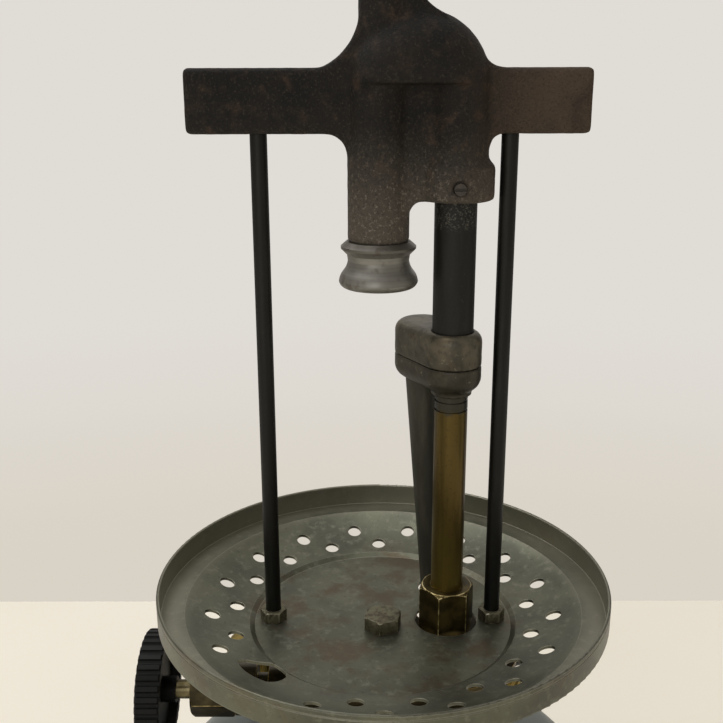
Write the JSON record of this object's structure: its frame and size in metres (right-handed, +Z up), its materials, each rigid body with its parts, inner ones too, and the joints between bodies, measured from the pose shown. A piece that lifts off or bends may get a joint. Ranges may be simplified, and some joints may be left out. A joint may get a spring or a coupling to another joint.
{
  "type": "pressure lantern burner on its fuel fount",
  "caption": "Gas burner of a pressure lantern: cast head with a mantle nozzle on two rods, generator, perforated tray, knob valve and round fuel fount with pump.",
  "frame": {"origin": "middle of the flat foot, on the lantern's axis", "axes": "+Z up the lantern's axis, X along the crossbar with the control knob at -X, -Y towards the front"},
  "size_m": [0.172, 0.1727, 0.356],
  "materials": {
    "fount_paint": "dull grey zinc paint",
    "tray_zinc": "dull zinc plate with rust tints",
    "head_iron": "sand cast, scaled and rusty",
    "nozzle_metal": "satin, heat greyed",
    "rod_steel": "blackened",
    "tube_steel": "scaled, nearly black",
    "mixer_metal": "cast, heat tinted",
    "aged_brass": "aged",
    "valve_brass": "dull with bright edges",
    "knob_black": "moulded black phenolic",
    "fastener_steel": "dull zinc",
    "seal_rubber": "matte",
    "cup_leather": "oiled",
    "packing_fibre": "woven heat packing"
  },
  "bodies": {
    "stand": {"fount_shell": "fount_paint", "fount_base": "fount_paint", "fount_collar": "valve_brass", "filler_neck": "valve_brass", "pump_barrel": "valve_brass", "pump_check_valve": "valve_brass", "pump_check_ball": "fastener_steel", "pump_cap": "valve_brass", "valve_body": "valve_brass", "pickup_tube": "valve_brass", "stem_packing": "packing_fibre", "packing_nut": "valve_brass", "tray": "tray_zinc", "tray_bolt": "fastener_steel", "left_rod": "rod_steel", "right_rod": "rod_steel", "rod_nuts_upper": "fastener_steel", "rod_nuts_lower": "fastener_steel", "generator_nut": "aged_brass", "generator_tube": "aged_brass", "generator_wick": "packing_fibre", "gas_jet": "valve_brass", "mixer_cap": "mixer_metal", "mixer_base": "mixer_metal", "air_tube": "tube_steel", "mixing_tube": "tube_steel", "burner_head": "head_iron", "hood_stud": "fastener_steel", "tube_lock_screw": "fastener_steel", "mantle_nozzle": "nozzle_metal", "nozzle_screen": "fastener_steel"},
    "needle": {"valve_needle": "valve_brass"},
    "knob": {"valve_stem": "valve_brass", "control_knob": "knob_black", "knob_screw": "fastener_steel"},
    "plunger": {"pump_rod": "fastener_steel", "pump_handle": "knob_black", "pump_cup": "cup_leather"},
    "gasket": {"filler_gasket": "seal_rubber"},
    "cap": {"filler_cap": "valve_brass"}
  },
  "joints": [
    {"name": "needle_slide", "type": "slide", "parent": "stand", "child": "needle", "axis": [-1, 0, 0], "range_m": [0, 0.0013]},
    {"name": "knob_turn", "type": "hinge", "parent": "stand", "child": "knob", "pos_m": [-0.076, 0, 0.1115], "axis": [-1, 0, 0], "range_deg": [0, 540]},
    {"name": "pump_slide", "type": "slide", "parent": "stand", "child": "plunger", "axis": [0.4967, 0.7094, 0.5], "range_m": [0, 0.05]},
    {"name": "cap_lift", "type": "slide", "parent": "stand", "child": "gasket", "axis": [0, 0, 1], "range_m": [0, 0.00385]},
    {"name": "cap_turn", "type": "hinge", "parent": "gasket", "child": "cap", "pos_m": [-0.04443, 0.03728, 0.1015], "axis": [0, 0, 1], "range_deg": [0, 900]}
  ],
  "couplings": [
    {"joint": "needle_slide", "follows": "knob_turn", "m_per_rad": 0.00012732},
    {"joint": "cap_lift", "follows": "cap_turn", "m_per_rad": 0.00023873}
  ]
}
